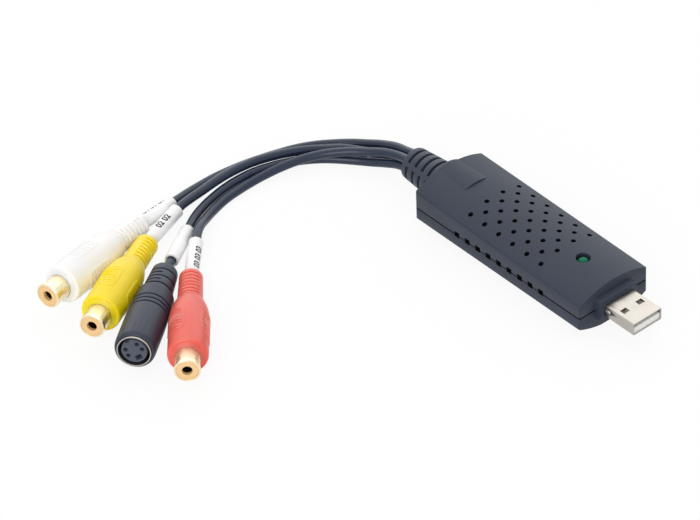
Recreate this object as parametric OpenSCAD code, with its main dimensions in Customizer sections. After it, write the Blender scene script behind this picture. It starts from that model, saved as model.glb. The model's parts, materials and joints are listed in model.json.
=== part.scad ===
// Video capture stick: a two-part case with a plug at one end and, at the other, four fixed leads
// that end in three phono sockets and one four-pin mini-DIN socket.
// X runs along the case towards the plug, Y across it, Z up from the flat foot under the case.

/* [Case] */
// Length of the case between its end faces
case_l = 76; // [72:1:90]
// Width of the case
case_w = 28.8; // [26:0.2:34]
// Height of the joint line between the two shells
part_z = 7.6; // [7.4:0.1:8.6]
// Height of the crown at mid length
crown_z = 16.3; // [15.5:0.1:20]
// Radius of the crown across the case
crown_r = 32; // [26:1:60]
// Fall of the crown towards the plug, in degrees
crown_tilt = 1; // [0:0.1:2]
// Rounding between the side walls and the crown
edge_r = 1.2; // [0.5:0.1:3]
// Rounding of the upright corners
corner_r = 0.6; // [0.4:0.1:4]
// Radius of the underside across the case
belly_r = 32; // [30:1:60]
// Width of the flat foot along the underside
foot_w = 10; // [8:0.5:14]
// Wall of both shells
wall = 1.8; // [1.4:0.1:2.2]
// Height of the lip that joins the shells
lip_h = 1.2; // [0.8:0.1:2]
// Height and depth of the groove along the joint line
seam = 0.5; // [0.2:0.05:0.6]
// Clearance between pieces that fit together
fit = 0.1; // [0.05:0.01:0.15]

/* [Vents and light] */
// Diameter of the holes in the crown
vent_d = 1.65; // [1:0.05:2.2]
// Spacing of the crown holes along the case
vent_pitch = 6.5; // [5:0.1:7]
// Spacing of the rows of crown holes
vent_row = 3.45; // [3:0.05:3.6]
// Rows of crown holes, an odd number
vent_rows = 7; // [3:2:7]
// Holes in the longer rows
vent_cols = 6; // [3:1:6]
// Length of a side slot
slot_l = 2.25; // [1.5:0.05:3]
// Height of a side slot
slot_h = 2; // [1:0.1:2.2]
// Spacing of the side slots
slot_pitch = 4.85; // [4:0.05:5.2]
// Distance of the middle side slot from mid length, towards the plug
slot_x = 1; // [-2:0.1:2]
// Side slots on each side
slot_count = 9; // [3:2:9]
// Distance from the plug end of the case to the light
led_back = 13.6; // [12:0.1:16]
// Diameter of the light
led_d = 4.6; // [3:0.1:5.2]
// Depth of the light's dome below the crown
led_sunk = 0.3; // [0:0.1:1]

/* [Lead end of the case] */
// Radius of the raised boss round the strain relief
boss_r = 9.6; // [9:0.1:10.5]
// Reach of the boss behind the case
boss_out = 2.2; // [1:0.1:4]
// Rounding of the boss's rear edge
boss_edge_r = 2; // [0.5:0.1:2]
// Length of the raised pad on the crown, from the rear face
pad_l = 13; // [8:0.5:16]
// Radius of the raised pad across the case
pad_r = 13; // [11:0.5:20]
// Diameter of the strain relief at the case
relief_d = 13.7; // [12:0.1:14]
// Diameter of the strain relief at its free end
relief_end_d = 11.2; // [10.2:0.1:11.4]
// Length of the strain relief outside the case
relief_l = 15.1; // [14:0.1:20]
// Rounding of the strain relief's free end
relief_end_r = 0.7; // [0.2:0.1:0.8]
// Rings of slots in the strain relief
slot_rings = 4; // [2:1:4]
// Distance from the strain relief's free end to its first slot ring
ring_first = 2.9; // [2:0.1:3.2]
// Spacing of the slot rings
ring_pitch = 3.25; // [2.6:0.05:3.3]
// Width of a slot ring
ring_w = 1.1; // [0.6:0.05:1.4]
// Width of the webs that cross the slot rings
web_w = 1.8; // [1:0.1:2.4]
// Angle of the webs from the upright
web_angle = 56; // [40:1:70]
// Diameter of the neck held between the shells
neck_d = 10; // [9.6:0.1:10.6]
// Diameter of the flange inside the case
flange_d = 11.8; // [11:0.1:12]
// Thickness of the flange inside the case
flange_t = 2; // [1.2:0.1:2.6]

/* [Plug] */
// Width of the plug's metal shell
usb_w = 12; // [11.5:0.1:12.5]
// Height of the plug's metal shell
usb_h = 4.5; // [4.2:0.1:4.8]
// Sheet thickness of the plug's shell
usb_t = 0.3; // [0.2:0.05:0.4]
// Rounding of the shell's long edges
usb_r = 0.5; // [0.42:0.02:0.8]
// Reach of the plug beyond the collar
usb_out = 12.6; // [11:0.1:14]
// Length of the plug's shell behind the collar's face
usb_in = 9.5; // [8:0.1:11]
// Length of the collar round the plug
collar_l = 2.65; // [1.5:0.05:4]
// Width of the collar
collar_w = 15.2; // [14.6:0.1:17]
// Height of the collar
collar_h = 8.3; // [7.4:0.1:9]
// Rounding of the collar's long edges
collar_r = 0.8; // [0.3:0.1:2]
// Thickness of the plug's tongue
tongue_t = 2.2; // [1.8:0.1:2.4]
// Depth of the tongue's end inside the plug's mouth
tongue_back = 0.4; // [0.2:0.1:1]
// Thickness of a plug contact
contact_t = 0.15; // [0.1:0.01:0.2]
// Width of a plug contact
contact_w = 1; // [0.8:0.05:1.2]
// Length of a window in the plug's shell, along the plug
window_l = 1.95; // [1.5:0.05:2.5]
// Width of a window in the plug's shell
window_w = 2.4; // [2:0.1:2.8]
// Distance from the plug's tip to the middle of the windows
window_back = 6.65; // [5:0.05:7.5]
// Distance of each window from the plug's middle line
window_y = 3.25; // [2.6:0.05:3.6]

/* [Board] */
// Thickness of the circuit board
board_t = 1.6; // [1.2:0.1:1.6]
// Width of the circuit board
board_w = 22.4; // [21.4:0.1:22.8]
// Gap between the board's ends and what they face
board_gap = 0.5; // [0.2:0.1:1]
// Distance of the posts from the ends of the case
post_in = 10.6; // [10:0.1:12]
// Distance of the posts from the middle line
post_y = 8.6; // [8.2:0.1:8.8]
// Diameter of the posts
post_d = 4; // [3.4:0.1:4.4]
// Diameter of the pins on the lower posts
peg_d = 1.8; // [1.4:0.1:2.2]
// Height of the pins above the board
peg_h = 4; // [2:0.1:6]
// Side of the capture chip's body
chip_w = 9; // [7:0.1:10]
// Height of the capture chip
chip_h = 1.4; // [1:0.1:1.8]
// Leads on each side of the capture chip
chip_leads = 12; // [6:1:14]
// Diameter of the board's round capacitors
cap_d = 5; // [4:0.1:6]
// Height of the board's round capacitors
cap_h = 5.4; // [4:0.1:6]

/* [Leads] */
// Diameter of a lead
lead_d = 3.1; // [2.8:0.05:3.2]
// Spacing of the leads where they leave the strain relief
lead_gap = 3.7; // [3.5:0.05:3.8]
// Diameter of the sleeve on a lead
sleeve_d = 4.7; // [4.3:0.1:4.8]
// Bare stretch of the mini-DIN lead before its sleeve
svideo_bare = 6; // [2:0.5:12]
// Bare stretch of a phono lead before its sleeve
phono_bare = 0.4; // [0.4:0.1:4]
// Straight stretch of a lead beyond its sleeve
sleeve_back = 1.9; // [0.5:0.1:4]

/* [Phono sockets] */
// Diameter of the grip
grip_d = 12.9; // [12:0.1:13.2]
// Length of the grip's full-diameter part
grip_l = 18; // [16:0.1:20]
// Length of the grip's rounded shoulder
shoulder_l = 10.6; // [8:0.1:12]
// Length of the grip's ribbed tail
tail_l = 13.6; // [12.4:0.1:15]
// Diameter of the tail where it meets the shoulder
tail_d = 8.2; // [7.4:0.1:8.6]
// Diameter of the tail's end
tail_end_d = 7.6; // [6.8:0.1:7.8]
// Rings of grooves on the tail
tail_rings = 7; // [3:1:7]
// Spacing of the tail's grooves
tail_pitch = 1.75; // [1.2:0.05:1.8]
// Width of a groove
groove_w = 0.65; // [0.4:0.05:0.7]
// Depth of a groove
groove_t = 0.45; // [0.2:0.05:0.6]
// Rise of the grip's front from its rim to the barrel
front_rise = 0.8; // [0.2:0.1:1.2]
// Length of a finger pad on the grip
pad_grip_l = 12; // [8:0.1:13]
// Width of a finger pad on the grip
pad_grip_w = 8; // [6:0.1:8.6]
// Height of a finger pad above the grip
pad_grip_t = 0.15; // [0.1:0.05:0.2]
// Grooves across a finger pad
pad_grooves = 7; // [3:1:8]
// Reach of the metal barrel in front of the grip
barrel_out = 7.5; // [6:0.1:9]
// Diameter of the barrel's lip, which a phono plug grips
barrel_d = 8.3; // [8.1:0.05:8.5]
// Length of the barrel's lip
barrel_lip = 1.2; // [0.8:0.1:3.5]
// Diameter of the barrel behind its lip
barrel_neck_d = 7.8; // [7.6:0.1:8]
// Depth of the barrel inside the grip
barrel_in = 8; // [6:0.1:10]
// Bore of the centre contact, which takes a phono plug's pin
pin_bore_d = 3.3; // [3.2:0.02:3.4]
// Wall of the centre contact
contact_wall = 0.25; // [0.2:0.05:0.35]

/* [Mini-DIN socket] */
// Diameter of the grip at the front
svideo_d = 13.2; // [12.6:0.1:13.6]
// Diameter of the grip at its back edge
svideo_back_d = 12.2; // [11.4:0.1:12.6]
// Length of the grip
svideo_l = 29.6; // [26:0.1:32]
// Length of the grip's ribbed tail
svideo_tail_l = 14.4; // [13:0.1:16]
// Diameter of the tail where it meets the grip
svideo_tail_d = 10.2; // [9.4:0.1:10.8]
// Diameter of the tail's end
svideo_end_d = 8.4; // [7.8:0.1:9]
// Spacing of the grooves
svideo_pitch = 2.05; // [1.5:0.05:2.2]
// Outside diameter of the metal ring
din_d = 11; // [10.6:0.1:11.2]
// Sheet thickness of the metal ring
din_t = 0.4; // [0.25:0.05:0.5]
// Reach of the metal ring in front of the grip
din_out = 0.5; // [0.2:0.1:1]
// Depth of the metal ring
din_l = 9; // [7:0.1:11]
// Diameter of the core that carries the contacts
core_d = 8.2; // [7.8:0.1:8.4]
// Depth of the core's face inside the ring
core_back = 0.4; // [0.2:0.1:1.5]
// Diameter of a contact's hole
din_hole_d = 1.4; // [0.9:0.05:1.6]

/* [Hidden] */
$fn = 64;
half_l = case_l / 2;
half_w = case_w / 2;
// The foot cuts this much off the round underside.
foot_cut = belly_r - sqrt(belly_r * belly_r - foot_w * foot_w / 4);
// Extrusions that are trimmed by others reach this far past them.
past = 1;
// Everything above the joint line is lower than this.
sky = 2 * crown_z;

// Plug end
collar_x = half_l + collar_l;
usb_tip = collar_x + usb_out;
usb_x = collar_x - usb_in;
usb_inner_h = usb_h - 2 * usb_t;
tongue_w = usb_w - 2 * usb_t;
contact_y = [-3.5, -1, 1, 3.5];
contact_len = [9.5, 8.5, 8.5, 9.5];
spring_d = 1.6;

// Lead end
boss_x = -half_l - boss_out;
pad_rise = 0.1;
pad_z = part_z + boss_r + pad_rise - pad_r;
relief_x = boss_x - relief_l;
ring_floor_d = sqrt(2) * lead_gap + lead_d + 6 * fit;
flange_x = -half_l + wall + fit;
stub_x = flange_x + flange_t + fit;
// Each slot as the angle where it starts, from straight down, and the angle that it spans
web_half = asin(web_w / relief_d);
side_arc = 180 - 2 * web_angle - 2 * web_half;
end_arc = 2 * web_angle - 2 * web_half;
slot_arcs = [
    [web_half - web_angle, end_arc], [web_angle + web_half, side_arc],
    [180 - web_angle + web_half, end_arc], [180 + web_angle + web_half, side_arc]
];

// Board
board_z = part_z - usb_h / 2;
board_x0 = stub_x + board_gap;
board_x1 = half_l - wall - board_gap;
post_x = half_l - post_in;
led_x = half_l - led_back;
led_top = crown_z - led_x * tan(crown_tilt) - led_sunk;
led_l = 7;
led_rim_t = 1;
led_rim_d = led_d + 0.8;
led_base = led_top - led_l;
led_leg = 0.5;
led_leg_gap = 1.27;
chip_x = 2;
chip_leg_l = 1;
chip_leg_t = 0.2;
audio_l = 5;
audio_w = 4;
audio_h = 1.5;
audio_x = -14;
crystal_l = 11;
crystal_w = 4.6;
crystal_h = 3.4;
crystal_x = 15;
cap_places = [[board_x0 + 12.5, -5], [board_x0 + 12.5, 4.5], [board_x0 + 25.5, -5.2]];
passive_x = [-13, -3, 7, 17];
passive_in = 1.5;
passive_l = 2;
passive_w = 1.25;
passive_h = 0.7;
wire_d = 0.9;
wire_gap = 1.3;
wire_run = 4;

// Phono sockets
grip_r = grip_d / 2;
grip_back = barrel_out + grip_l;
tail_x = grip_back + shoulder_l;
rca_end = tail_x + tail_l;
shoulder_r = (pow(grip_r - tail_d / 2, 2) + pow(shoulder_l, 2)) / (grip_d - tail_d);
barrel_end = barrel_out + barrel_in;
barrel_chamfer = 0.25;
barrel_wall = 0.35;
pocket_d = barrel_neck_d - 2 * barrel_wall;
disc_back = 0.1;
contact_back = 1.5;
bore_end = barrel_end - 1;
solder_r = 0.7;
contact_d = pin_bore_d + 2 * contact_wall;
solder_l = 3;
pad_mid = grip_back - 0.45 * pad_grip_l;
pad_angles = [0, 120, 240];
pad_corner_r = 2.6;
pad_border = 0.8;
pad_root = 2;
pad_cut = 0.1;
strip_w = 3.4;
rim_r = 0.9;
tail_edge_r = 0.7;
shoulder_steps = 6;
// Outline of the grip, each point as its radius and its distance behind the mouth
grip_bore = barrel_neck_d / 2 + fit;
grip_points = concat(
    [[0, barrel_end + solder_l], [grip_bore, barrel_end + solder_l], [grip_bore, barrel_out - front_rise]],
    [[grip_r - 1.2 * rim_r, barrel_out + 0.1 * rim_r], [grip_r - 0.65 * rim_r, barrel_out]],
    [[grip_r - 0.15 * rim_r, barrel_out + 0.35 * rim_r], [grip_r, barrel_out + rim_r], [grip_r, grip_back]],
    [for (k = [1 : shoulder_steps])
        [shoulder_at(k * shoulder_l / shoulder_steps), grip_back + k * shoulder_l / shoulder_steps]],
    [[tail_end_d / 2, rca_end - tail_edge_r], [tail_end_d / 2 - tail_edge_r, rca_end], [0, rca_end]]
);
pad_edge = [grip_r + pad_grip_t, pad_mid + pad_grip_l / 2];

// Mini-DIN socket
svideo_end = svideo_l + svideo_tail_l;
din_hole_r = 2.7;
din_hole_angles = [-77.5, 77.5, 126.5, -126.5];
key_l = 2.3;
key_w = 1.6;
key_r = 2.55;
notch_w = 1.4;
notch_t = 0.6;
din_step_t = 1;
pin_wall = 0.12;
pin_back = 2;
band_count = 3;
band_back = 10.9;
band_t = 0.4;
tail_first = 1.7;
tail_slots = 5;
// Every second slot of the tail leaves a plain strip on each flank.
flank_w = 7;
flank_angle = -60;
front_r = 0.9;
back_r = 0.5;
end_r = 1.2;
svideo_r = svideo_d / 2;
din_seat = din_d / 2 + fit;
svideo_points = [
    [0, din_l],
    [din_seat, din_l],
    [din_seat, din_out],
    [svideo_r - 0.8 * front_r, din_out],
    [svideo_r - 0.35 * front_r, din_out + 0.4 * front_r],
    [svideo_r - 0.1 * front_r, din_out + 1.2 * front_r],
    [svideo_r, din_out + 2.4 * front_r],
    [svideo_r, svideo_l / 2],
    [svideo_back_d / 2, svideo_l - back_r],
    [svideo_back_d / 2 - back_r, svideo_l],
    [svideo_tail_d / 2, svideo_l],
    [svideo_end_d / 2, svideo_end - end_r],
    [svideo_end_d / 2 - end_r / 3, svideo_end - end_r / 3],
    [svideo_end_d / 2 - end_r, svideo_end],
    [0, svideo_end]
];

// Each socket lies back on its grip: the way that it points in plan, its rise and its turn about itself
white_turn = [-74.9, 6, 25];
yellow_turn = [-59.4, 6.6, 21];
red_turn = [-40.9, 4.4, -74];
svideo_turn = [-52.2, 5, 33];
// Where the middle of each socket's mouth lies, with its grip on the table
white_at = [-81.6, -129.1, seat(concat(grip_points, [pad_edge]), white_turn[1])];
yellow_at = [-60.5, -128.35, seat(concat(grip_points, [pad_edge]), yellow_turn[1])];
red_at = [-25, -119.5, seat(concat(grip_points, [pad_edge]), red_turn[1])];
svideo_at = [-43.15, -125.8, seat(svideo_points, svideo_turn[1])];

function seat(points, rise) = max([for (p = points) p[0] * cos(rise) + p[1] * sin(rise)]);
function way(turn) = [cos(turn[0]) * cos(turn[1]), sin(turn[0]) * cos(turn[1]), sin(turn[1])];
function behind(at, turn, s) = at - s * way(turn);

// Free points of each lead, from the strain relief to the far end of its sleeve
white_free = [
    [-60.5, 1.8, 8.2], [-65.5, 1.7, 7.1], [-71, 0.9, 5.3], [-76.5, -1, 3.5], [-81.5, -4, 2.5],
    [-86, -8, 1.8], [-89.5, -12.5, 1.6], [-92.3, -18, 1.6], [-94.4, -24, 1.6], [-96.1, -30, 1.6],
    [-97.5, -36, 1.6], [-98.4, -42, 1.6], [-98.9, -47.5, 1.6], [-98.9, -53, 1.6], [-98.4, -59, 1.9],
    [-97.5, -64.4, 2.4]
];
yellow_free = [
    [-60, 1.7, 4.9], [-65, 0.3, 4.2], [-70.5, -2.2, 3.7], [-75.5, -5, 3.4], [-80, -8, 3.3],
    [-83.8, -12, 3.1], [-87, -16.4, 3.4], [-89.8, -21.4, 3.6], [-92, -26.6, 3.8], [-93.7, -32.3, 4],
    [-94.6, -38, 4.2], [-94.9, -44.2, 4.3], [-94.6, -50.2, 4.3], [-93.9, -56.2, 4.3], [-93.2, -61.8, 4.4],
    [-92.2, -67, 4.5]
];
svideo_free = [
    [-60, -1.9, 4.9], [-65, -3.4, 3.6], [-70, -5.7, 2.4], [-75, -8.7, 1.8], [-79.3, -12, 1.6],
    [-83.2, -16, 1.6], [-86.5, -20.6, 1.6], [-89, -25.7, 1.7], [-90.8, -31.1, 1.9], [-92, -36.7, 2],
    [-92.5, -42.5, 1.9], [-92.3, -48.4, 1.7], [-91.3, -54.2, 1.6], [-89.6, -59.9, 1.7],
    [-87.2, -65.2, 2], [-84.2, -69.9, 2.4]
];
red_free = [
    [-60.5, -1.9, 8.3], [-65.5, -3.4, 7.5], [-70, -5.7, 6.4], [-74.7, -8.9, 5.6], [-78.8, -12.9, 5],
    [-82.3, -17.6, 4.4], [-84.9, -22.7, 3.8], [-86.7, -28.2, 3.2], [-88, -34, 2.5], [-88.7, -39.8, 1.9],
    [-88.7, -45.8, 1.6], [-88, -51.6, 1.6], [-86.5, -57.4, 1.6], [-84.1, -63.1, 2.2],
    [-80.3, -69, 3.8], [-76.4, -73.3, 4.3]
];
// The last stretch of a lead runs this far straight into its grip.
lead_run = 0.3;
lead_sides = 8;

// Outlines

module plate(l, w, r) {
    square([l - 2 * r, w], center = true);
    square([l, w - 2 * r], center = true);
    for (x = [-1, 1], y = [-1, 1]) translate([x * (l / 2 - r), y * (w / 2 - r)]) circle(r);
}

// Section of the crown and side walls, drawn in from the outside by i
module crown_outline(i) {
    big = crown_r - i;
    small = max(edge_r - i, 0.3);
    w = half_w - i;
    centre_z = crown_z - crown_r;
    small_z = centre_z + sqrt(pow(big - small, 2) - pow(w - small, 2));
    meet_y = (w - small) * big / (big - small);
    intersection() {
        translate([0, centre_z]) circle(big);
        translate([-meet_y, -past]) square([2 * meet_y, sky]);
    }
    translate([-w, -past]) square([2 * w, small_z + past]);
    for (s = [-1, 1]) translate([s * (w - small), small_z]) circle(small);
}

// Section of the round underside with its flat foot, drawn in by i
module belly_outline(i) {
    intersection() {
        translate([0, belly_r - foot_cut]) circle(belly_r - i);
        translate([-case_w, i]) square([2 * case_w, sky]);
    }
}

module along_x(x, length) {
    translate([x, 0, 0]) rotate([90, 0, 90]) linear_extrude(height = length) children();
}

// A round outline with the radius across and the distance from x along X
module turned_x(x, z) {
    translate([x, 0, z]) rotate([0, 90, 0]) rotate_extrude() children();
}

module rod_x(x, length, d, y, z) {
    translate([x, y, z]) rotate([0, 90, 0]) cylinder(d = d, h = length);
}

// Case

module case_form(i) {
    intersection() {
        rotate([0, crown_tilt, 0]) along_x(-case_l, 2 * case_l) crown_outline(i);
        along_x(-case_l, 2 * case_l) belly_outline(i);
        translate([0, 0, -past]) linear_extrude(height = sky)
            plate(case_l - 2 * i, case_w - 2 * i, max(corner_r - i, 0.3));
    }
}

// A round boss behind the case, and a flatter pad that carries it on along the crown
module boss_form() {
    length = boss_out + wall;
    intersection() {
        union() {
            turned_x(boss_x, part_z) {
                square([boss_r - boss_edge_r, length]);
                translate([0, boss_edge_r]) square([boss_r, length - boss_edge_r]);
                translate([boss_r - boss_edge_r, boss_edge_r]) circle(boss_edge_r);
            }
            along_x(-half_l, pad_l) translate([0, pad_z]) circle(pad_r);
        }
        along_x(-case_l, case_l) belly_outline(0);
    }
}

module outer_form() {
    case_form(0);
    boss_form();
    along_x(half_l - wall, wall + collar_l) translate([0, part_z]) plate(collar_w, collar_h, collar_r);
}

// Everything between two heights
module layer(low, high) {
    translate([-case_l, -case_w, low]) cube([2 * case_l, 2 * case_w, high - low]);
}

module post_places() {
    for (x = [-post_x, post_x], y = [-post_y, post_y]) translate([x, y, 0]) children();
}

module side_slots() {
    first = slot_x - (slot_count - 1) / 2 * slot_pitch;
    for (k = [0 : slot_count - 1], s = [-1, 1])
        translate([first + k * slot_pitch, s * half_w, part_z])
            cube([slot_l, 4 * wall, slot_h], center = true);
}

module crown_holes() {
    middle = (vent_rows - 1) / 2;
    for (row = [-middle : middle]) {
        count = (row + middle) % 2 == 0 ? vent_cols : vent_cols - 1;
        for (k = [0 : count - 1])
            translate([(k - (count - 1) / 2) * vent_pitch, row * vent_row, part_z + lip_h + past])
                cylinder(d = vent_d, h = sky);
    }
}

module end_openings() {
    along_x(half_l - 2 * wall, 2 * wall + collar_l + past)
        translate([0, part_z]) plate(usb_w + 2 * fit, usb_h + 2 * fit, usb_r + fit);
    rod_x(boss_x - past, boss_out + 2 * wall + past, neck_d + 2 * fit, 0, part_z);
}

module upper_case() {
    color("#555a66") {
        difference() {
            intersection() {
                outer_form();
                layer(part_z, sky);
            }
            case_form(wall);
            intersection() {
                case_form(wall / 2);
                layer(part_z - past, part_z + lip_h + fit);
            }
            crown_holes();
            side_slots();
            end_openings();
            translate([led_x, 0, part_z + lip_h + past]) cylinder(d = led_d + 2 * fit, h = sky);
        }
        difference() {
            intersection() {
                post_places() translate([0, 0, board_z + fit]) cylinder(d = post_d, h = sky);
                case_form(wall / 2);
            }
            post_places() translate([0, 0, board_z]) cylinder(d = peg_d + 2 * fit, h = peg_h + fit);
        }
    }
}

module lower_case() {
    color("#4c505c") {
        difference() {
            union() {
                intersection() {
                    outer_form();
                    layer(-past, part_z);
                }
                intersection() {
                    case_form(wall / 2 + fit);
                    layer(part_z - past, part_z + lip_h);
                }
            }
            case_form(wall);
            difference() {
                layer(part_z - seam, part_z);
                case_form(seam);
                boss_form();
                translate([half_l, -half_w, 0]) cube([case_l, case_w, sky]);
            }
            side_slots();
            end_openings();
        }
        intersection() {
            post_places() {
                cylinder(d = post_d, h = board_z - board_t);
                cylinder(d = peg_d, h = board_z + peg_h);
            }
            case_form(wall / 2);
        }
    }
}

// Lead end

module relief_profile() {
    // From the free end, then the outside and the neck
    flange_start = flange_x - relief_x;
    polygon([
        [0, 0],
        [relief_end_d / 2 - relief_end_r, 0],
        [relief_end_d / 2 - 0.3 * relief_end_r, 0.3 * relief_end_r],
        [relief_end_d / 2, relief_end_r],
        [relief_d / 2, relief_l],
        [neck_d / 2, relief_l],
        [neck_d / 2, flange_start + flange_t],
        [0, flange_start + flange_t]
    ]);
}

module lead_places() {
    for (y = [-1, 1], z = [-1, 1]) translate([0, y * lead_gap / 2, part_z + z * lead_gap / 2]) children();
}

module strain_relief() {
    first = relief_x + ring_first;
    color("#3e424c") difference() {
        union() {
            turned_x(relief_x, part_z) relief_profile();
            intersection() {
                rod_x(flange_x, flange_t, flange_d, 0, part_z);
                case_form(wall + fit);
            }
        }
        lead_places() rod_x(relief_x - past, relief_l + case_l / 2, lead_d + 2 * fit, 0, 0);
        for (k = [0 : slot_rings - 1], a = slot_arcs) translate([first + k * ring_pitch, 0, part_z])
            rotate([0, 90, 0]) rotate([0, 0, a[0]]) rotate_extrude(angle = a[1])
                translate([ring_floor_d / 2, -ring_w / 2]) square([relief_d, ring_w]);
    }
}

module lead_stubs() {
    color("#2c3038") lead_places() rod_x(relief_x, stub_x - relief_x, lead_d, 0, 0);
}

module core_wires() {
    color("#b5543c") for (side = [-1, 1], level = [-1, 1], k = [-0.5, 0.5]) {
        y = side * lead_gap / 2 + k * wire_gap;
        z = level < 0 ? max(part_z - lead_gap / 2, board_z + wire_d / 2) : part_z + lead_gap / 2;
        run = level < 0 ? wire_run : wire_run + k + 1;
        rod_x(stub_x, run, wire_d, y, z);
        translate([stub_x + run, y, z]) sphere(d = wire_d);
        translate([stub_x + run, y, board_z]) cylinder(d = wire_d, h = z - board_z);
    }
}

// Board

module main_board() {
    color("#1f6b3a") translate([0, 0, board_z - board_t]) linear_extrude(height = board_t) difference() {
        translate([board_x0, -board_w / 2]) square([board_x1 - board_x0, board_w]);
        post_places() circle(d = peg_d + 2 * fit);
    }
}

module capture_chip() {
    pitch = (chip_w - 1) / (chip_leads - 1);
    color("#202226") translate([chip_x, 0, board_z]) {
        translate([-chip_w / 2, -chip_w / 2, chip_leg_t / 2]) cube([chip_w, chip_w, chip_h]);
        for (turn = [0 : 90 : 270], k = [0 : chip_leads - 1]) rotate([0, 0, turn])
            translate([chip_w / 2 - chip_leg_t, (k - (chip_leads - 1) / 2) * pitch - pitch / 4, 0])
                cube([chip_leg_l + chip_leg_t, pitch / 2, chip_leg_t]);
    }
}

module audio_chip() {
    legs = 4;
    pitch = audio_l / legs;
    color("#26282c") translate([audio_x, 0, board_z]) {
        translate([-audio_l / 2, -audio_w / 2, chip_leg_t / 2]) cube([audio_l, audio_w, audio_h]);
        for (s = [-1, 1], k = [0 : legs - 1])
            translate([(k - (legs - 1) / 2) * pitch, s * (audio_w + chip_leg_l) / 2, chip_leg_t / 2])
                cube([pitch / 3, chip_leg_l + 2 * chip_leg_t, chip_leg_t], center = true);
    }
}

module crystal() {
    rim = 0.4;
    color("#c9ccd0") translate([crystal_x, 0, board_z]) rotate([0, 0, 90]) {
        linear_extrude(height = 2 * rim) plate(crystal_l + 2 * rim, crystal_w + 2 * rim, crystal_w / 2);
        linear_extrude(height = crystal_h) plate(crystal_l, crystal_w, crystal_w / 2 - 0.1);
    }
}

module capacitors() {
    foot = 0.6;
    color("#9aa0a8") for (place = cap_places) translate([place[0], place[1], board_z]) {
        linear_extrude(height = foot) square(cap_d, center = true);
        cylinder(d = cap_d - 0.4, h = cap_h);
    }
}

module passives() {
    color("#a88f6a") for (x = passive_x, s = [-1, 1], k = [0, 1])
        translate([x + k * 2 * passive_l, s * (board_w / 2 - passive_in) - passive_w / 2, board_z])
            cube([passive_l, passive_w, passive_h]);
}

module status_light() {
    color("#1d7a50") translate([led_x, 0, led_base]) {
        cylinder(d = led_rim_d, h = led_rim_t);
        cylinder(d = led_d, h = led_l - led_d / 2);
        translate([0, 0, led_l - led_d / 2]) sphere(d = led_d);
    }
}

module light_legs() {
    color("#c9ccd0") for (s = [-1, 1])
        translate([led_x + s * led_leg_gap - led_leg / 2, -led_leg / 2, board_z])
            cube([led_leg, led_leg, led_base - board_z]);
}

// Plug

module usb_shell() {
    color("#d9d8d4") difference() {
        along_x(usb_x, usb_tip - usb_x) translate([0, part_z]) difference() {
            plate(usb_w, usb_h, usb_r);
            plate(usb_w - 2 * usb_t, usb_inner_h, usb_r - usb_t);
        }
        for (s = [-1, 1]) translate([usb_tip - window_back, s * window_y, part_z])
            cube([window_l, window_w, 2 * usb_h], center = true);
        for (s = [-1, 1]) translate([usb_tip - usb_out + spring_d, s * usb_w / 2, part_z + usb_h / 8])
            rotate([90, 0, 0]) cylinder(d = spring_d, h = 2 * usb_t, center = true);
    }
}

module usb_tongue() {
    low = part_z - usb_inner_h / 2;
    back_l = usb_in - collar_l - wall;
    color("#f2f1ee") difference() {
        union() {
            along_x(usb_x, usb_tip - tongue_back - usb_x) translate([0, low + tongue_t / 2])
                plate(tongue_w - 2 * fit, tongue_t, usb_r - usb_t);
            along_x(usb_x, back_l) translate([0, part_z])
                plate(tongue_w - 2 * fit, usb_inner_h - 2 * fit, usb_r - usb_t);
        }
        for (k = [0 : 3])
            translate([usb_x + back_l - past, contact_y[k] - contact_w / 2, low + tongue_t - contact_t])
                cube([contact_len[k] + past, contact_w, contact_t]);
    }
}

module usb_contacts() {
    low = part_z - usb_inner_h / 2;
    back_l = usb_in - collar_l - wall;
    color("#d8b36a") for (k = [0 : 3])
        translate([usb_x + back_l, contact_y[k] - contact_w / 2 + fit / 2, low + tongue_t - contact_t])
            cube([contact_len[k], contact_w - fit, contact_t + fit / 2]);
}

// Phono sockets: local X points out of the mouth, and s runs back from the mouth.

module at_socket(at, turn) {
    translate(at) rotate([0, -turn[1], turn[0]]) rotate([turn[2], 0, 0]) children();
}

module turned_back() {
    rotate([0, -90, 0]) rotate_extrude() children();
}

function shoulder_at(s) = grip_r - shoulder_r + sqrt(shoulder_r * shoulder_r - s * s);

module ring_cut(s, width, outside_d, floor_d) {
    rotate([0, -90, 0]) translate([0, 0, s - width / 2]) difference() {
        cylinder(d = outside_d, h = width);
        translate([0, 0, -past]) cylinder(d = floor_d, h = width + 2 * past);
    }
}

// The plan of a finger pad, drawn in by a border, from inside the grip to well outside it
module pad_prism(border) {
    translate([-pad_mid, 0, grip_r - pad_root]) linear_extrude(height = grip_r)
        plate(pad_grip_l - 2 * border, pad_grip_w - 2 * border, pad_corner_r - border);
}

module grip_pad() {
    intersection() {
        rod_x(-grip_back - shoulder_l, grip_l + shoulder_l, grip_d + 2 * pad_grip_t, 0, 0);
        pad_prism(0);
    }
}

module pad_grooving() {
    pitch = (pad_grip_l - 2 * pad_border) / pad_grooves;
    first = pad_mid - (pad_grooves - 1) / 2 * pitch;
    intersection() {
        for (k = [0 : pad_grooves - 1])
            ring_cut(first + k * pitch, pitch / 3, 2 * grip_d, grip_d - 2 * pad_cut);
        pad_prism(pad_border);
    }
}

module tail_groove(s) {
    d = tail_d + (tail_end_d - tail_d) * (s - tail_x) / tail_l;
    difference() {
        ring_cut(s, groove_w, tail_d + past, d - 2 * groove_t);
        translate([-s - past, -strip_w / 2, 0]) cube([2 * past, strip_w, tail_d]);
    }
}

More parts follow.
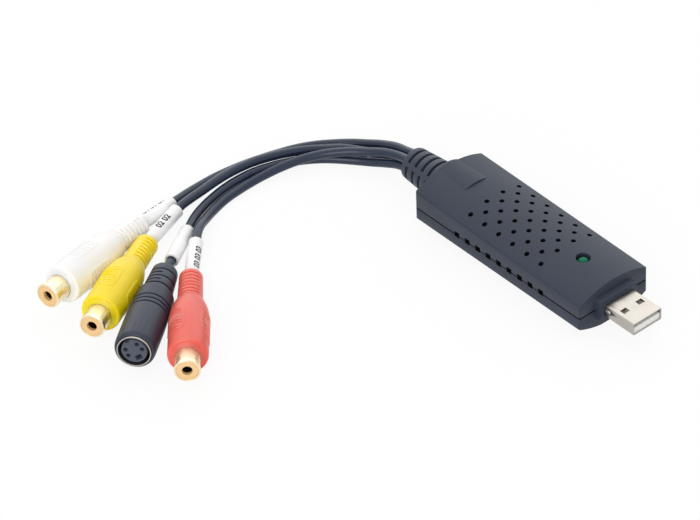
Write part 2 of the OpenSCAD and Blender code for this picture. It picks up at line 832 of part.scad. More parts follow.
module phono_grip(at, turn, tint) {
    color(tint) at_socket(at, turn) difference() {
        union() {
            turned_back() polygon(grip_points);
            for (a = pad_angles) rotate([a, 0, 0]) grip_pad();
        }
        for (a = pad_angles) rotate([a, 0, 0]) pad_grooving();
        for (k = [0 : tail_rings - 1]) tail_groove(tail_x + groove_w + k * tail_pitch);
    }
}

module phono_barrel(at, turn) {
    lip = barrel_d / 2;
    neck = barrel_neck_d / 2;
    color("#e6c684") at_socket(at, turn) turned_back() polygon([
        [pocket_d / 2, 0],
        [lip - barrel_chamfer, 0],
        [lip, barrel_chamfer],
        [lip, barrel_lip],
        [neck, barrel_lip],
        [neck, barrel_end],
        [pocket_d / 2, barrel_end]
    ]);
}

module phono_insulator(at, turn) {
    seat_r = contact_d / 2 + fit / 2;
    color("#e3b878") at_socket(at, turn) turned_back() polygon([
        [pin_bore_d / 2, disc_back],
        [pocket_d / 2 - fit / 2, disc_back],
        [pocket_d / 2 - fit / 2, barrel_end],
        [seat_r, barrel_end],
        [seat_r, contact_back],
        [pin_bore_d / 2, contact_back]
    ]);
}

module phono_contact(at, turn) {
    color("#c8a050") at_socket(at, turn) turned_back() polygon([
        [pin_bore_d / 2, contact_back],
        [contact_d / 2, contact_back],
        [contact_d / 2, barrel_end],
        [solder_r, barrel_end],
        [solder_r, barrel_end + solder_l],
        [0, barrel_end + solder_l],
        [0, bore_end],
        [pin_bore_d / 2, bore_end]
    ]);
}

// Mini-DIN socket

// The plain strips stand on the table's left and right, whatever the socket's turn.
module flank_groove(s, flanks) {
    d = svideo_tail_d + (svideo_end_d - svideo_tail_d) * (s - svideo_l) / svideo_tail_l;
    difference() {
        ring_cut(s, groove_w, svideo_tail_d + past, d - 2 * groove_t);
        if (flanks) rotate([flank_angle - svideo_turn[2], 0, 0]) translate([-s, 0, 0])
            cube([2 * past, flank_w, 2 * svideo_d], center = true);
    }
}

module svideo_grip() {
    band_first = svideo_l - band_back;
    color("#3c3f48") at_socket(svideo_at, svideo_turn) difference() {
        turned_back() polygon(svideo_points);
        for (k = [0 : band_count - 1])
            ring_cut(band_first + k * svideo_pitch, groove_w, svideo_d + past, svideo_back_d - band_t);
        for (k = [0 : tail_slots - 1])
            flank_groove(svideo_l + tail_first + k * svideo_pitch, k % 2 == 1);
    }
}

module svideo_ring() {
    color("#e4e4e2") at_socket(svideo_at, svideo_turn) rotate([0, -90, 0]) difference() {
        cylinder(d = din_d, h = din_l);
        translate([0, 0, -past]) cylinder(d = din_d - 2 * din_t, h = din_l + 2 * past);
    }
}

// Holes for the contacts, seen from the front with the key at the bottom
module din_places() {
    for (a = din_hole_angles) rotate([a, 0, 0]) translate([0, 0, -din_hole_r]) children();
}

module svideo_core() {
    step_d = din_d - 2 * din_t - fit;
    color("#3a3d45") at_socket(svideo_at, svideo_turn) difference() {
        union() {
            rod_x(-din_l, din_l - core_back, core_d, 0, 0);
            rod_x(-din_l, din_step_t, step_d, 0, 0);
        }
        din_places() rod_x(-din_l - past, din_l + 2 * past, din_hole_d, 0, 0);
        translate([-din_l / 2, -key_l / 2, -key_r - key_w / 2]) cube([din_l, key_l, key_w]);
        translate([-din_l / 2, -notch_w / 2, core_d / 2 - notch_t]) cube([din_l, notch_w, core_d]);
    }
}

module svideo_contacts() {
    back = core_back + pin_back;
    d = din_hole_d - fit;
    color("#c8a050") at_socket(svideo_at, svideo_turn) din_places() rotate([0, -90, 0])
        translate([0, 0, back]) difference() {
            cylinder(d = d, h = din_l - back);
            translate([0, 0, -past]) cylinder(d = d - 2 * pin_wall, h = din_l - back);
        }
}

// Leads

function unit(v) = v / norm(v);
function run_way(points, k, first, last) =
    k == 0 ? first : k == len(points) - 1 ? last : unit(points[k + 1] - points[k - 1]);
function ring(p, t) =
    let (side = unit(cross(t, [0, 0, 1])), top = cross(side, t))
    [for (j = [0 : lead_sides - 1])
        let (a = 360 * (j + 0.5) / lead_sides) p + lead_d / 2 * (cos(a) * side + sin(a) * top)];

module swept(points, first, last) {
    n = len(points);
    m = lead_sides;
    rings = [for (k = [0 : n - 1]) each ring(points[k], run_way(points, k, first, last))];
    walls = [for (k = [0 : n - 2], j = [0 : m - 1])
        let (a = k * m + j, b = k * m + (j + 1) % m) each [[a, a + m, b], [b, a + m, b + m]]];
    ends = [[for (j = [0 : m - 1]) j], [for (j = [m - 1 : -1 : 0]) (n - 1) * m + j]];
    polyhedron(points = rings, faces = concat(walls, ends), convexity = 6);
}

// A lead leaves the relief at its own place in the square of four, and ends square on its grip.
module lead(free, corner, at, turn, length) {
    begin = [relief_x, corner[0] * lead_gap / 2, part_z + corner[1] * lead_gap / 2];
    points = concat([begin], free, [behind(at, turn, length + lead_run), behind(at, turn, length)]);
    color("#30343c") swept(points, [-1, 0, 0], way(turn));
}

// A sleeve covers the straight stretch before the grip, which can be bare for a while at the grip's end.
module sleeve(free, at, turn, length, bare) {
    near = behind(at, turn, length + lead_run);
    far = free[len(free) - 1];
    v = unit(far - near);
    sleeve_l = norm(far - near) - bare - sleeve_back;
    color("#f4f4f2") translate(near + bare * v) rotate([0, -asin(v[2]), atan2(v[1], v[0])]) rotate([0, 90, 0])
        difference() {
            cylinder(d = sleeve_d, h = sleeve_l);
            translate([0, 0, -past]) cylinder(d = lead_d + 2 * fit, h = sleeve_l + 2 * past);
        }
}

upper_case();
lower_case();
strain_relief();
lead_stubs();
core_wires();
main_board();
capture_chip();
audio_chip();
crystal();
capacitors();
passives();
status_light();
light_legs();
usb_shell();
usb_tongue();
usb_contacts();
phono_grip(white_at, white_turn, "#f8f6f3");  // white_grip
phono_barrel(white_at, white_turn);  // white_barrel
phono_insulator(white_at, white_turn);  // white_insulator
phono_contact(white_at, white_turn);  // white_contact
sleeve(white_free, white_at, white_turn, rca_end, phono_bare);  // white_sleeve
lead(white_free, [1, 1], white_at, white_turn, rca_end);  // white_lead
phono_grip(yellow_at, yellow_turn, "#f7e205");  // yellow_grip
phono_barrel(yellow_at, yellow_turn);  // yellow_barrel
phono_insulator(yellow_at, yellow_turn);  // yellow_insulator
phono_contact(yellow_at, yellow_turn);  // yellow_contact
sleeve(yellow_free, yellow_at, yellow_turn, rca_end, phono_bare);  // yellow_sleeve
lead(yellow_free, [1, -1], yellow_at, yellow_turn, rca_end);  // yellow_lead
phono_grip(red_at, red_turn, "#ee6458");  // red_grip
phono_barrel(red_at, red_turn);  // red_barrel
phono_insulator(red_at, red_turn);  // red_insulator
phono_contact(red_at, red_turn);  // red_contact
sleeve(red_free, red_at, red_turn, rca_end, phono_bare);  // red_sleeve
lead(red_free, [-1, 1], red_at, red_turn, rca_end);  // red_lead
svideo_grip();
svideo_ring();
svideo_core();
svideo_contacts();
sleeve(svideo_free, svideo_at, svideo_turn, svideo_end, svideo_bare);  // svideo_sleeve
lead(svideo_free, [-1, -1], svideo_at, svideo_turn, svideo_end);  // svideo_lead
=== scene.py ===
import json
import math

import bpy
from mathutils import Matrix, Vector


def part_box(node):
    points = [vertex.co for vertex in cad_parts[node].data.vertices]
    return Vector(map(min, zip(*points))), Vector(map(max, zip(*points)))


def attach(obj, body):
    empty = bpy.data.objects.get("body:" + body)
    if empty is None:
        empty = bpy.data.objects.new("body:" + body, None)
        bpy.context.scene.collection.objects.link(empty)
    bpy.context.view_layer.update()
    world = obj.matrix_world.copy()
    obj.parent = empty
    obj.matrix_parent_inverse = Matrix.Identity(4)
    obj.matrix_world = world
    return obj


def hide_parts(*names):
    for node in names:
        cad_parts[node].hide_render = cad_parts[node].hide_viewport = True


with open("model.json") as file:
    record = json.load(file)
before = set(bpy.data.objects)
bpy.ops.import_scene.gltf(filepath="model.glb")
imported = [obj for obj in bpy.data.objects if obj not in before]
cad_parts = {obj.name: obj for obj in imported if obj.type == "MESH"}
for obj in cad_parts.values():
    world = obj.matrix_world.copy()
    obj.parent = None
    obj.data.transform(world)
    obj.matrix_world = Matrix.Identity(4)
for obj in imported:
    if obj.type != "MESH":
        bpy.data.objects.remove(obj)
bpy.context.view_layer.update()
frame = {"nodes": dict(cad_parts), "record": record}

bpy.ops.object.select_all(action="DESELECT")

# Camera
# A long lens, high above the table on the plug's side, as the photograph was taken.
# The picture is 700 by 520 pixels.
camera_place = (0.89945, -0.82437, 1.00716)
camera_turn_deg = (50.493, 1.612, 48.835)
camera_lens_mm = 257.6
film_mm = 36
bpy.ops.object.camera_add(location=camera_place, rotation=[math.radians(a) for a in camera_turn_deg])
camera = bpy.context.object
camera.data.lens = camera_lens_mm
camera.data.sensor_width = film_mm
bpy.context.scene.camera = camera
bpy.context.scene.view_settings.view_transform = "Standard"

# Leads
# Four thin round cables with a soft black PVC jacket, moulded into the strain relief at one end
# and into a socket's grip at the other. They lie loosely on the table.
mm = 0.001
lead_d = 3.1 * mm
lead_gap = 3.7 * mm
lead_run = 0.3 * mm
relief_end_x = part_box("strain_relief")[0].x
mounts = {mount["name"]: mount for mount in frame["record"]["mounts"]}
plug_axis_z = mounts["usb_plug"]["pos_m"][2]
lip_middle = 0.725 * mm
phono_l = 49.7 * mm
svideo_l = 44 * mm

# Points that each lead passes, from the strain relief to its sleeve
lead_points_mm = {
    "white": [
        (-60.5, 1.8, 8.2), (-65.5, 1.7, 7.1), (-71, 0.9, 5.3), (-76.5, -1, 3.5), (-81.5, -4, 2.5),
        (-86, -8, 1.8), (-89.5, -12.5, 1.6), (-92.3, -18, 1.6), (-94.4, -24, 1.6), (-96.1, -30, 1.6),
        (-97.5, -36, 1.6), (-98.4, -42, 1.6), (-98.9, -47.5, 1.6), (-98.9, -53, 1.6), (-98.4, -59, 1.9),
        (-97.5, -64.4, 2.4)],
    "yellow": [
        (-60, 1.7, 4.9), (-65, 0.3, 4.2), (-70.5, -2.2, 3.7), (-75.5, -5, 3.4), (-80, -8, 3.3),
        (-83.8, -12, 3.1), (-87, -16.4, 3.4), (-89.8, -21.4, 3.6), (-92, -26.6, 3.8), (-93.7, -32.3, 4),
        (-94.6, -38, 4.2), (-94.9, -44.2, 4.3), (-94.6, -50.2, 4.3), (-93.9, -56.2, 4.3),
        (-93.2, -61.8, 4.4), (-92.2, -67, 4.5)],
    "svideo": [
        (-60, -1.9, 4.9), (-65, -3.4, 3.6), (-70, -5.7, 2.4), (-75, -8.7, 1.8), (-79.3, -12, 1.6),
        (-83.2, -16, 1.6), (-86.5, -20.6, 1.6), (-89, -25.7, 1.7), (-90.8, -31.1, 1.9), (-92, -36.7, 2),
        (-92.5, -42.5, 1.9), (-92.3, -48.4, 1.7), (-91.3, -54.2, 1.6), (-89.6, -59.9, 1.7),
        (-87.2, -65.2, 2), (-84.2, -69.9, 2.4)],
    "red": [
        (-60.5, -1.9, 8.3), (-65.5, -3.4, 7.5), (-70, -5.7, 6.4), (-74.7, -8.9, 5.6), (-78.8, -12.9, 5),
        (-82.3, -17.6, 4.4), (-84.9, -22.7, 3.8), (-86.7, -28.2, 3.2), (-88, -34, 2.5), (-88.7, -39.8, 1.9),
        (-88.7, -45.8, 1.6), (-88, -51.6, 1.6), (-86.5, -57.4, 1.6), (-84.1, -63.1, 2.2),
        (-80.3, -69, 3.8), (-76.4, -73.3, 4.3)],
}
# The corner of a square, across and up, where each lead leaves the strain relief
lead_corner = {"white": (1, 1), "yellow": (1, -1), "svideo": (-1, -1), "red": (-1, 1)}


def socket_mouth(colour):
    """The middle of a socket's mouth, and the way that it points."""
    if colour == "svideo":
        mount = mounts["svideo_socket"]
        return Vector(mount["pos_m"]), Vector(mount["axis"]).normalized()
    mount = mounts[colour + "_barrel"]
    way = Vector(mount["axis"]).normalized()
    return Vector(mount["pos_m"]) + lip_middle * way, way


def linear(hex_colour):
    """An sRGB hex value as linear red, green, blue and alpha."""
    parts = [int(hex_colour[i:i + 2], 16) / 255 for i in (1, 3, 5)]
    return [p / 12.92 if p <= 0.04045 else ((p + 0.055) / 1.055) ** 2.4 for p in parts] + [1]


def add(tree, kind, settings=None, links=None):
    """Adds a node, sets its sockets and properties, and joins other nodes' outputs to its sockets."""
    made = tree.nodes.new(kind)
    for name, value in (settings or {}).items():
        if isinstance(name, int) or name in made.inputs:
            made.inputs[name].default_value = value
        else:
            setattr(made, name, value)
    for name, (other, output) in (links or {}).items():
        tree.links.new(other.outputs[output], made.inputs[name])
    return made


def moulded(name, low, high, roughness, grain_mm, grain_depth_mm, cloud_mm=12, **sockets):
    """A surface of two close shades in soft clouds, with a fine grain that varies its gloss."""
    gloss_spread = 0.06
    made = bpy.data.materials.new(name)
    made.use_nodes = True
    tree = made.node_tree
    shader = tree.nodes["Principled BSDF"]
    place = add(tree, "ShaderNodeTexCoord")
    cloud = add(tree, "ShaderNodeTexNoise", {"Scale": 1 / (cloud_mm * mm), "Detail": 4},
                {"Vector": (place, "Object")})
    shade = add(tree, "ShaderNodeMix", {"data_type": "RGBA", 6: linear(low), 7: linear(high)},
                {0: (cloud, "Fac")})
    grain = add(tree, "ShaderNodeTexNoise", {"Scale": 1 / (grain_mm * mm), "Detail": 3, "Roughness": 0.6},
                {"Vector": (place, "Object")})
    bump = add(tree, "ShaderNodeBump", {"Strength": 1, "Distance": grain_depth_mm * mm},
               {"Height": (grain, "Fac")})
    gloss = add(tree, "ShaderNodeMapRange",
                {"To Min": roughness - gloss_spread, "To Max": roughness + gloss_spread},
                {"Value": (grain, "Fac")})
    tree.links.new(shade.outputs[2], shader.inputs["Base Color"])
    tree.links.new(bump.outputs["Normal"], shader.inputs["Normal"])
    tree.links.new(gloss.outputs["Result"], shader.inputs["Roughness"])
    for socket, value in sockets.items():
        shader.inputs[socket.replace("_", " ")].default_value = value
    return made


# PVC jacket, extruded: a satin blue-black, smooth but for a faint grain.
jacket = moulded("pvc_cable_jacket", "#1a2538", "#243148", roughness=0.28,
                 grain_mm=0.8, grain_depth_mm=0.01, Specular_IOR_Level=0.4)

routes = {}
for colour, points_mm in lead_points_mm.items():
    side, level = lead_corner[colour]
    mouth, way = socket_mouth(colour)
    tail_end = mouth - way * (svideo_l if colour == "svideo" else phono_l)
    begin = Vector((relief_end_x, side * lead_gap / 2, plug_axis_z + level * lead_gap / 2))
    route = [begin] + [Vector(p) * mm for p in points_mm] + [tail_end - lead_run * way, tail_end]
    line = bpy.data.curves.new(colour + "_cable", "CURVE")
    line.dimensions = "3D"
    line.bevel_depth = lead_d / 2
    line.bevel_resolution = 6
    line.resolution_u = 8
    line.use_fill_caps = True
    spline = line.splines.new("BEZIER")
    spline.bezier_points.add(len(route) - 1)
    for knot, point in zip(spline.bezier_points, route):
        knot.co = point
        knot.handle_left_type = knot.handle_right_type = "AUTO"
    lead = bpy.data.objects.new(colour + "_cable", line)
    bpy.context.scene.collection.objects.link(lead)
    line.materials.append(jacket)
    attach(lead, "root")
    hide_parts(colour + "_lead")
    routes[colour] = route


# Table and light
# White paper in a plain studio, with a wide softbox high behind the object and a weak fill lamp beside
# the camera. Seen directly or in a reflection the paper and the room are white, and the paper keeps a
# faint shadow. The paper lies just under the object's foot, so that the two don't share a plane.
floor_size = 6
floor_gap = 0.05 * mm
paper_white = 0.9
room_light = 0.52


def seen_directly(tree):
    """1 for rays from the camera, a reflection or a clear material, and 0 for the rest."""
    path = add(tree, "ShaderNodeLightPath")
    seen = add(tree, "ShaderNodeMath", {"operation": "MAXIMUM"},
               {0: (path, "Is Camera Ray"), 1: (path, "Is Glossy Ray")})
    return add(tree, "ShaderNodeMath", {"operation": "MAXIMUM"},
               {0: (seen, "Value"), 1: (path, "Is Transmission Ray")})


bpy.ops.mesh.primitive_plane_add(size=floor_size, location=(0, 0, -floor_gap))
floor = bpy.context.object
floor.name = "studio_table"
# Studio paper: matte and almost pure white, with no gloss at all.
paper = bpy.data.materials.new("white_studio_paper")
paper.use_nodes = True
tree = paper.node_tree
paper_shader = tree.nodes["Principled BSDF"]
paper_shader.inputs["Base Color"].default_value = linear("#fcfcfc")
paper_shader.inputs["Roughness"].default_value = 0.9
paper_shader.inputs["Specular IOR Level"].default_value = 0
share = add(tree, "ShaderNodeMath", {"operation": "MULTIPLY", 1: paper_white},
            {0: (seen_directly(tree), "Value")})
glow = add(tree, "ShaderNodeEmission", {"Strength": 1})
both = add(tree, "ShaderNodeMixShader", None,
           {0: (share, "Value"), 1: (paper_shader, "BSDF"), 2: (glow, "Emission")})
tree.links.new(both.outputs[0], tree.nodes["Material Output"].inputs["Surface"])
floor.data.materials.append(paper)

world = bpy.data.worlds.new("white_studio")
world.use_nodes = True
bpy.context.scene.world = world
tree = world.node_tree
level = add(tree, "ShaderNodeMapRange", {"To Min": room_light, "To Max": 1},
            {"Value": (seen_directly(tree), "Value")})
tree.nodes["Background"].inputs["Color"].default_value = (1, 1, 1, 1)
tree.links.new(level.outputs["Result"], tree.nodes["Background"].inputs["Strength"])

for name, place, turn_deg, size, watts in (
    ("rear_softbox", (-0.93, 0.78, 1.03), (50, 0, -134), 2.6, 20),
    ("camera_fill", (0.5, -1.0, 0.7), (58, 0, 25), 0.9, 8),
):
    bpy.ops.object.light_add(type="AREA", location=place, rotation=[math.radians(a) for a in turn_deg])
    lamp = bpy.context.object
    lamp.name = name
    lamp.data.size = size
    lamp.data.energy = watts

# Strain relief
# A dark grey PVC boot, moulded over the four leads and held by a flange inside the case's end.
# Its rings of slots let the real boot bend; here it is one rigid piece. The ends of the leads run on through
# it.
merge_gap = 0.001 * mm
flat_deg = 0.1
sharp_deg = 30


def finished(node, material, edge_mm=0, segments=2, forms=()):
    """A merged copy of a solid with its sharp edges rounded off, shaded smooth, in the solid's place.

    Forms are round surfaces of the solid, each as a point on its axis, the axis and the radius. Faces that
    lie on one are shaded as truly round.
    """
    mesh = frame["nodes"][node].data.copy()
    piece = bpy.data.objects.new(node + "_finished", mesh)
    bpy.context.scene.collection.objects.link(piece)
    bpy.ops.object.select_all(action="DESELECT")
    piece.select_set(True)
    bpy.context.view_layer.objects.active = piece
    bpy.ops.object.mode_set(mode="EDIT")
    bpy.ops.mesh.select_all(action="SELECT")
    bpy.ops.mesh.remove_doubles(threshold=merge_gap)
    bpy.ops.mesh.dissolve_limited(angle_limit=math.radians(flat_deg))
    bpy.ops.object.mode_set(mode="OBJECT")
    if edge_mm:
        bevel = piece.modifiers.new("rounded_edges", "BEVEL")
        bevel.width = edge_mm * mm
        bevel.segments = segments
        bevel.limit_method = "ANGLE"
        bevel.angle_limit = math.radians(sharp_deg)
        bpy.ops.object.modifier_apply(modifier=bevel.name)
    bpy.ops.object.shade_smooth_by_angle(angle=math.radians(sharp_deg))
    if forms:
        shade_round(piece.data, forms)
    piece.data.materials.clear()
    piece.data.materials.append(material)
    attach(piece, "root")
    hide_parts(node)
    return piece


def shade_round(mesh, forms):
    """Sets the shading of faces on round forms from the forms themselves."""
    off_form = 0.12 * mm
    turned_from_form = math.cos(math.radians(14))
    normals = [corner.vector.copy() for corner in mesh.corner_normals]
    for face in mesh.polygons:
        for centre, axis, radius in forms:
            found = []
            for corner in face.loop_indices:
                out = mesh.vertices[mesh.loops[corner].vertex_index].co - centre
                out = out - axis * out.dot(axis)
                on_form = abs(out.length - radius) < off_form
                if on_form and out.normalized().dot(face.normal) > turned_from_form:
                    found.append((corner, out.normalized()))
            if len(found) == face.loop_total:
                for corner, out in found:
                    normals[corner] = out
                break
    mesh.normals_split_custom_set(normals)


# Moulded PVC: a dark grey with a dull, slightly soft look.
boot = moulded("moulded_pvc_boot", "#303643", "#3b4250", roughness=0.48,
               grain_mm=0.5, grain_depth_mm=0.02, Specular_IOR_Level=0.35)
finished("strain_relief", boot, edge_mm=0.15)
finished("lead_stubs", jacket)

# Case
# Two ABS shells with a fine spark-eroded grain, closed by a lip along the joint line.
# The crown, the raised pad at the lead end and the underside are parts of cylinders along the case.
crown_z = 16.3 * mm
crown_r = 32 * mm
crown_tilt_deg = 1
crown_tilt = Matrix.Rotation(math.radians(crown_tilt_deg), 3, "Y")
boss_r = 9.6 * mm
pad_rise = 0.1 * mm
pad_r = 13 * mm
pad_z = plug_axis_z + boss_r + pad_rise - pad_r
belly_r = 32 * mm
foot_w = 10 * mm
belly_z = math.sqrt(belly_r ** 2 - foot_w ** 2 / 4)
along = Vector((1, 0, 0))
case_forms = (
    (crown_tilt @ Vector((0, 0, crown_z - crown_r)), crown_tilt @ along, crown_r),
    (Vector((0, 0, pad_z)), along, pad_r),
    (Vector((0, 0, belly_z)), along, belly_r),
)
# ABS from a spark-eroded mould: a blue-grey that looks dull and even, with a fine sparkle of grain.
abs_grey = moulded("textured_abs", "#2e3542", "#343b49", roughness=0.5,
                   grain_mm=0.45, grain_depth_mm=0.02, Specular_IOR_Level=0.25)
# Painted shade on the inner faces: the real inner faces are the same ABS, and this near-black stands in for
# the shade inside the case, so that the vents and the joint line look black.
inner_shade_paint = moulded("painted_inner_shade", "#08090a", "#0c0d0f", roughness=0.7,
                  grain_mm=0.4, grain_depth_mm=0.01, Specular_IOR_Level=0.1)
case_half = (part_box("upper_case")[1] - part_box("upper_case")[0]).y / 2
case_end = 38 * mm
light_low, light_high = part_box("status_light")
light_x = (light_low.x + light_high.x) / 2
light_rim_r = (light_high.y - light_low.y) / 2
# How deep below the outer surface a face must lie to get the painted shade
inner_shade_depth = 0.3 * mm


def paint_inner_shade(shell):
    """Paints near-black shade on the faces of a shell that lie deeper than its outer surface, but not the
    light's hole.
    """
    shell.data.materials.append(inner_shade_paint)
    crown_middle, crown_axis, _ = case_forms[0]
    belly_middle, belly_axis, _ = case_forms[2]
    for face in shell.data.polygons:
        middle = face.center
        depths = (
            case_end - abs(middle.x), case_half - abs(middle.y),
            crown_r - (middle - crown_middle).cross(crown_axis).length,
            belly_r - (middle - belly_middle).cross(belly_axis).length, middle.z,
        )
        off_light = math.hypot(middle.x - light_x, middle.y) > light_rim_r
        face.material_index = int(min(depths) > inner_shade_depth and off_light)


# The inner faces of both shells get the painted shade
for shell in ("upper_case", "lower_case"):
    paint_inner_shade(finished(shell, abs_grey, edge_mm=0.12, forms=case_forms))

# Board and what it carries
# A green circuit board with chips, a crystal can, capacitors and small parts soldered on, the legs of
# the light, and the core wires of the leads. The case hides it, except through the vents.
plating_depth_mm = 0.002
plating_cloud_mm = 4


def metal(name, low, high, roughness, grain_mm, **sockets):
    """A plated metal: near-even colour with a faint cloud and the very shallow grain of the plating."""
    return moulded(name, low, high, roughness, grain_mm, plating_depth_mm, cloud_mm=plating_cloud_mm,
                   Metallic=1, **sockets)


# Solder mask: a smooth green lacquer with some gloss.
solder_mask = moulded("green_solder_mask", "#174f2b", "#1f6b3a", roughness=0.35,
                      grain_mm=0.6, grain_depth_mm=0.01)
# Moulded chip epoxy: a matte near-black.
epoxy = moulded("black_chip_epoxy", "#1a1b1e", "#232529", roughness=0.6, grain_mm=0.3, grain_depth_mm=0.01)
# Fired ceramic: a dull, even tan.
ceramic = moulded("tan_ceramic", "#97805e", "#a88f6a", roughness=0.5, grain_mm=0.3, grain_depth_mm=0.01)
# Extruded wire insulation: a satin brick red.
insulation = moulded("red_wire_insulation", "#a04632", "#b5543c", roughness=0.45,
                     grain_mm=0.5, grain_depth_mm=0.01)
# Tin on steel: a pale grey with soft reflections.
tinned = metal("tinned_steel", "#b9bcc0", "#c9ccd0", roughness=0.3, grain_mm=0.5)
for node, material, slot in (
    ("main_board", solder_mask, "board_green"), ("capture_chip", epoxy, "chip_black"),
    ("audio_chip", epoxy, "chip_black"), ("crystal", tinned, "can_metal"),
    ("capacitors", tinned, "can_metal"), ("passives", ceramic, "chip_tan"),
    ("light_legs", tinned, "can_metal"), ("core_wires", insulation, "wire_red"),
):
    finished(node, material, edge_mm=0.05)

# Status light
# A round lamp cast in green-tinted resin, held on its legs above the board.
# It stands just under the crown, in a hole of its own.

# Cast resin: one even deep green with a smooth, glassy surface.
resin = bpy.data.materials.new("green_tinted_resin")
resin.use_nodes = True
resin_shader = resin.node_tree.nodes["Principled BSDF"]
resin_shader.inputs["Base Color"].default_value = linear("#0a6b4b")
resin_shader.inputs["Roughness"].default_value = 0.08
resin_shader.inputs["Specular IOR Level"].default_value = 0.15
finished("status_light", resin, edge_mm=0.1, segments=3)

# Plug
# A folded sheet-steel shell, nickel plated, round a white tongue with four gold contacts.
# It stands out of a collar at the end of the case.

# Bright nickel plate: a warm silver whose reflections are a little soft.
nickel = metal("bright_nickel_plate", "#afaaa3", "#bcb7b0", roughness=0.3, grain_mm=0.6)
# Moulded liquid-crystal polymer: a plain satin white.
tongue = moulded("white_lcp_tongue", "#e9e8e4", "#f4f3f0", roughness=0.45, grain_mm=0.4, grain_depth_mm=0.01)
# Gold plate on flat contacts: a pale gold with a clear gloss.
gold = metal("gold_plate", "#f5e0b0", "#fae9c6", roughness=0.18, grain_mm=0.5)
finished("usb_shell", nickel, edge_mm=0.1)
finished("usb_tongue", tongue, edge_mm=0.12)
finished("usb_contacts", gold, edge_mm=0.03)

# Phono sockets
# Soft PVC grips in the three signal colours, moulded round a gold-plated barrel and its lead.
# Each barrel holds a tan insulator and a brass contact, and each lead has a white label sleeve.
grip_shades = {
    "white": ("#f6f3f1", "#fbf9f7"),
    "yellow": ("#fcd700", "#fedf04"),
    "red": ("#e45c4e", "#ec6a5c"),
}
# Unpolished brass, deep in a socket: a dark brown with a dull gleam.
dull_brass = metal("dull_brass", "#5a4526", "#6b5430", roughness=0.4, grain_mm=0.5)
# Moulded insulator: a warm satin tan.
tan = moulded("tan_insulator", "#e6bc80", "#f0ca98", roughness=0.4, grain_mm=0.4, grain_depth_mm=0.01)
# Heat-shrink tube: a satin white with a slight grain.
label = moulded("white_heat_shrink", "#f4f4f4", "#fafafa", roughness=0.4, grain_mm=0.7, grain_depth_mm=0.02)
# Gold plate on turned brass: the fine marks of the lathe draw its gloss out along the barrel.
turned_gold = metal("turned_gold_plate", "#f7e7bd", "#fcefd0", roughness=0.28, grain_mm=0.5, Anisotropic=1)
tree = turned_gold.node_tree
drawn = add(tree, "ShaderNodeTangent", {"direction_type": "UV_MAP", "uv_map": "along_barrel"})
tree.links.new(drawn.outputs["Tangent"], tree.nodes["Principled BSDF"].inputs["Tangent"])
# Black printing ink: a thin dull film that follows the sleeve.
ink = moulded("black_print_ink", "#141416", "#1c1c1f", roughness=0.55,
              grain_mm=0.4, grain_depth_mm=0.005, Specular_IOR_Level=0.3)
ink_t = 0.03 * mm
print_size = 2.9 * mm
print_bold = 0.08 * mm
print_off = 4 * mm
# What is printed on each sleeve, how far round from the top it stands, and its place along the sleeve
prints = {"white": ("01 01 01", -40, 0.44), "yellow": ("02 02", 8, 0.47), "red": ("03 03 03", 44, 0.41)}


def turned_barrel(colour):
    """A gold barrel with a map that runs along its axis and round it."""
    barrel = finished(colour + "_barrel", turned_gold, edge_mm=0.06)
    mouth, way = socket_mouth(colour)
    side = way.cross(Vector((0, 0, 1))).normalized()
    up = side.cross(way)
    chart = barrel.data.uv_layers.new(name="along_barrel")
    for corner in barrel.data.loops:
        out = barrel.data.vertices[corner.vertex_index].co - mouth
        turn = math.atan2(out.dot(side), out.dot(up)) / math.tau
        chart.data[corner.index].uv = (out.dot(way) / phono_l, turn)
    return barrel


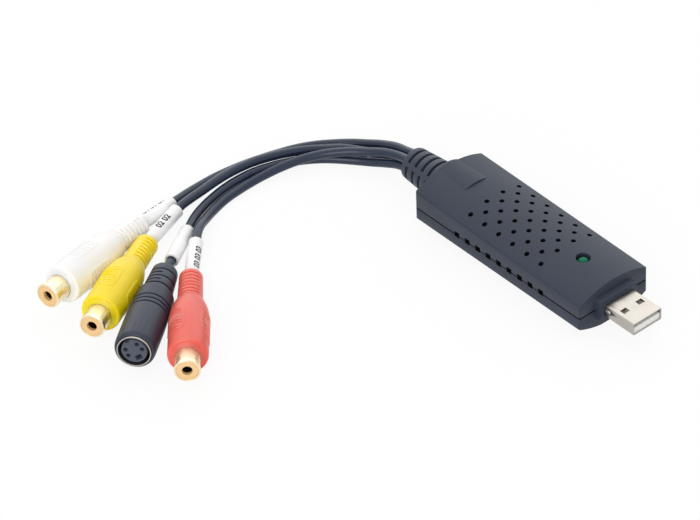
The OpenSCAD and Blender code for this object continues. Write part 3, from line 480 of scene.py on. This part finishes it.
def printed(colour, sleeve):
    """Plain numbers printed along a sleeve, wrapped on it."""
    body, round_deg, share = prints[colour]
    far, near = routes[colour][-3], routes[colour][-2]
    along_sleeve = (far - near).normalized()
    top = (Vector((0, 0, 1)) - along_sleeve * along_sleeve.z).normalized()
    out = Matrix.Rotation(math.radians(round_deg), 3, along_sleeve) @ top
    bpy.ops.object.select_all(action="DESELECT")
    bpy.ops.object.text_add()
    words = bpy.context.object
    words.name = colour + "_print"
    words.data.body = body
    words.data.size = print_size
    words.data.offset = print_bold
    words.data.align_x = "CENTER"
    words.data.align_y = "CENTER"
    bpy.ops.object.convert(target="MESH")
    words = bpy.context.object
    bpy.ops.object.mode_set(mode="EDIT")
    bpy.ops.mesh.select_all(action="SELECT")
    bpy.ops.mesh.quads_convert_to_tris()
    bpy.ops.mesh.subdivide(number_cuts=3)
    bpy.ops.object.mode_set(mode="OBJECT")
    turn = Matrix((along_sleeve, out.cross(along_sleeve), out)).transposed().to_4x4()
    words.matrix_world = Matrix.Translation(near.lerp(far, share) + print_off * out) @ turn
    wrap = words.modifiers.new("wrapped_on_sleeve", "SHRINKWRAP")
    wrap.target = sleeve
    wrap.wrap_method = "PROJECT"
    wrap.use_project_z = True
    wrap.use_negative_direction = True
    wrap.use_positive_direction = False
    wrap.offset = ink_t
    bpy.ops.object.modifier_apply(modifier=wrap.name)
    bpy.ops.object.transform_apply(location=True, rotation=True, scale=True)
    words.data.materials.clear()
    words.data.materials.append(ink)
    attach(words, "root")
    return words


for colour, (low, high) in grip_shades.items():
    # Soft PVC: a strong colour with a satin gloss, and a little light scattered under its surface.
    grip_pvc = moulded(colour + "_soft_pvc", low, high, roughness=0.36, grain_mm=0.5, grain_depth_mm=0.015,
                       Specular_IOR_Level=0.45, Subsurface_Weight=0.6, Subsurface_Scale=3 * mm,
                       Subsurface_Radius=(1, 0.7, 0.5))
    sleeve = finished(colour + "_sleeve", label, edge_mm=0.1)
    printed(colour, sleeve)
    finished(colour + "_grip", grip_pvc, edge_mm=0.08)
    turned_barrel(colour)
    finished(colour + "_insulator", tan, edge_mm=0.05)
    finished(colour + "_contact", dull_brass, edge_mm=0.03)

# Mini-DIN socket
# A black PVC grip, moulded round a nickel-plated ring and a black core with four sprung contacts.
# Its lead has a white label sleeve too, with nothing printed on it.

# Soft black PVC: a satin blue-black that takes a grey sheen from the lamps.
grip_black = moulded("black_soft_pvc", "#272d3c", "#313848", roughness=0.42,
                     grain_mm=0.5, grain_depth_mm=0.015, Specular_IOR_Level=0.35)
# Moulded core: a dull dark grey, paler than the grip.
core_black = moulded("black_core_plastic", "#464c59", "#505664", roughness=0.5,
                     grain_mm=0.4, grain_depth_mm=0.01, Specular_IOR_Level=0.3)
finished("svideo_grip", grip_black, edge_mm=0.15)
finished("svideo_ring", nickel, edge_mm=0.08)
finished("svideo_core", core_black, edge_mm=0.1)
finished("svideo_contacts", dull_brass)
finished("svideo_sleeve", label, edge_mm=0.1)
